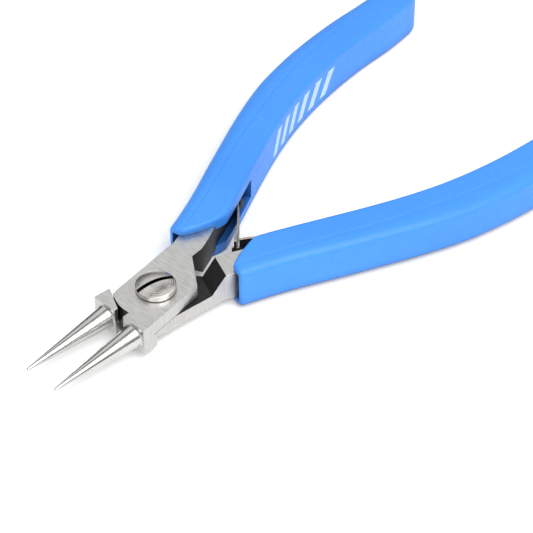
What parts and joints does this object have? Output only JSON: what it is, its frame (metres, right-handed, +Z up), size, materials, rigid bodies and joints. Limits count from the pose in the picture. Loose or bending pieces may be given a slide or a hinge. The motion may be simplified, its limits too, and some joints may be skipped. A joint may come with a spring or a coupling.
{
  "type": "round nose pliers",
  "caption": "Hand pliers with smooth conical jaws, a lapped joint on a slotted pivot screw, leaf springs that reopen them and moulded grips.",
  "frame": {"origin": "under the middle of the tool's box, on the surface that the grips' flat undersides rest on", "axes": "+Y from the handles to the jaw tips, +Z up along the pivot, +X to the right seen from above with the jaws pointing away"},
  "size_m": [0.0696, 0.1396, 0.0103],
  "materials": {
    "ground_steel": "fine ground flats, polished jaws, blackened recesses",
    "screw_steel": "turned",
    "spring_steel": "rolled strip",
    "grip_plastic": "satin moulded"
  },
  "bodies": {
    "lower": {"lower_half": "ground_steel", "pivot_screw": "screw_steel", "lower_grip": "grip_plastic", "lower_spring_rivet": "screw_steel"},
    "upper": {"upper_half": "ground_steel", "upper_grip": "grip_plastic", "upper_spring_rivet": "screw_steel"},
    "upper_leaf": {"upper_spring": "spring_steel"},
    "lower_leaf": {"lower_spring": "spring_steel"}
  },
  "joints": [
    {"name": "pivot", "type": "hinge", "parent": "lower", "child": "upper", "pos_m": [0, 0.03977, 0.005], "axis": [0, 0, 1], "range_deg": [-13, 6], "stiffness_Nm_per_rad": 1.5},
    {"name": "upper_leaf_bend", "type": "hinge", "parent": "upper", "child": "upper_leaf", "pos_m": [0.00887, 0.00815, 0.005], "axis": [0, 0, 1], "range_deg": [-12.8, 6.3]},
    {"name": "lower_leaf_bend", "type": "hinge", "parent": "lower", "child": "lower_leaf", "pos_m": [-0.00887, 0.00815, 0.005], "axis": [0, 0, 1], "range_deg": [-6.3, 12.8]}
  ],
  "couplings": [
    {"joint": "upper_leaf_bend", "follows": "pivot", "ratio": 0.95},
    {"joint": "lower_leaf_bend", "follows": "pivot", "ratio": -0.95}
  ]
}
